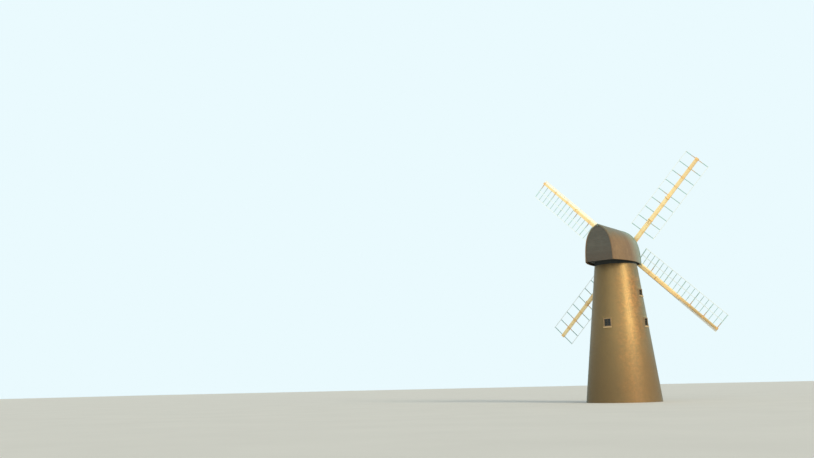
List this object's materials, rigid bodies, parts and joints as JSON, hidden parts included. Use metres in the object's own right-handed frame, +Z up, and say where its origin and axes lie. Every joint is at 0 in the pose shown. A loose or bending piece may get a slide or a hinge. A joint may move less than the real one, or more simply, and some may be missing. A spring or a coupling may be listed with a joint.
{
  "type": "traditional tower windmill",
  "caption": "Brick tower windmill with a boat-shaped boarded cap that turns on its curb and four latticed sails on a tilted windshaft.",
  "frame": {"origin": "centre of the tower on the ground, under the ground floor", "axes": "+Z up, +Y the way the cap and sails face at rest, +X to the right of someone who looks that way"},
  "size_m": [16.9112, 7.1523, 21.4764],
  "materials": {
    "tower_brick": "tarred brickwork, glossy in the sun",
    "floor_brick": "worn brick paving",
    "floor_timber": "bare boards",
    "window_timber": "worn tan paint",
    "window_glass": "dark panes",
    "door_timber": "dark paint",
    "frame_timber": "bare oak",
    "roof_boards": "weathered brown boards",
    "trim_boards": "weathered grey boards",
    "gable_boards": "dark grey boards",
    "bearing_iron": "black iron",
    "shaft_timber": "bare timber",
    "sail_cream": "cream paint",
    "sail_bars": "weathered grey-green timber",
    "sail_white": "pale paint"
  },
  "bodies": {
    "tower": {"right_wall": "tower_brick", "front_right_wall": "tower_brick", "front_wall": "tower_brick", "front_left_wall": "tower_brick", "left_wall": "tower_brick", "rear_left_wall": "tower_brick", "rear_wall": "tower_brick", "rear_right_wall": "tower_brick", "ground_floor": "floor_brick", "door_threshold": "floor_brick", "first_floor": "floor_timber", "second_floor": "floor_timber", "third_floor": "floor_timber", "window_sills": "window_timber", "window_frames": "window_timber", "window_glass": "window_glass", "door_frame": "door_timber", "door_leaf": "door_timber", "curb": "frame_timber"},
    "cap": {"right_roof": "roof_boards", "left_roof": "roof_boards", "ridge_board": "trim_boards", "storm_boards": "trim_boards", "rear_gable": "gable_boards", "front_gable": "gable_boards", "cap_circle": "frame_timber", "cap_soffit": "gable_boards", "sheers": "frame_timber", "weather_beam": "frame_timber", "tail_beam": "frame_timber", "neck_bearing": "bearing_iron", "tail_bearing": "bearing_iron"},
    "sails": {"windshaft": "shaft_timber", "poll_end": "bearing_iron", "outer_stock": "sail_cream", "inner_stock": "sail_cream", "common_whip_1": "sail_cream", "common_whip_2": "sail_cream", "patent_whip_1": "sail_cream", "patent_whip_2": "sail_cream", "common_lattice_1": "sail_bars", "common_lattice_2": "sail_bars", "patent_lattice_1": "sail_bars", "patent_lattice_2": "sail_bars", "leading_board_1": "sail_white", "leading_board_2": "sail_white", "sail_clamps": "bearing_iron"}
  },
  "joints": [
    {"name": "cap_turn", "type": "hinge", "parent": "tower", "child": "cap", "pos_m": [0, 0, 12], "axis": [0, 0, 1], "continuous": true},
    {"name": "sail_spin", "type": "hinge", "parent": "cap", "child": "sails", "pos_m": [0, 2.35, 13.3603], "axis": [0, 0.989, 0.1478], "continuous": true}
  ]
}
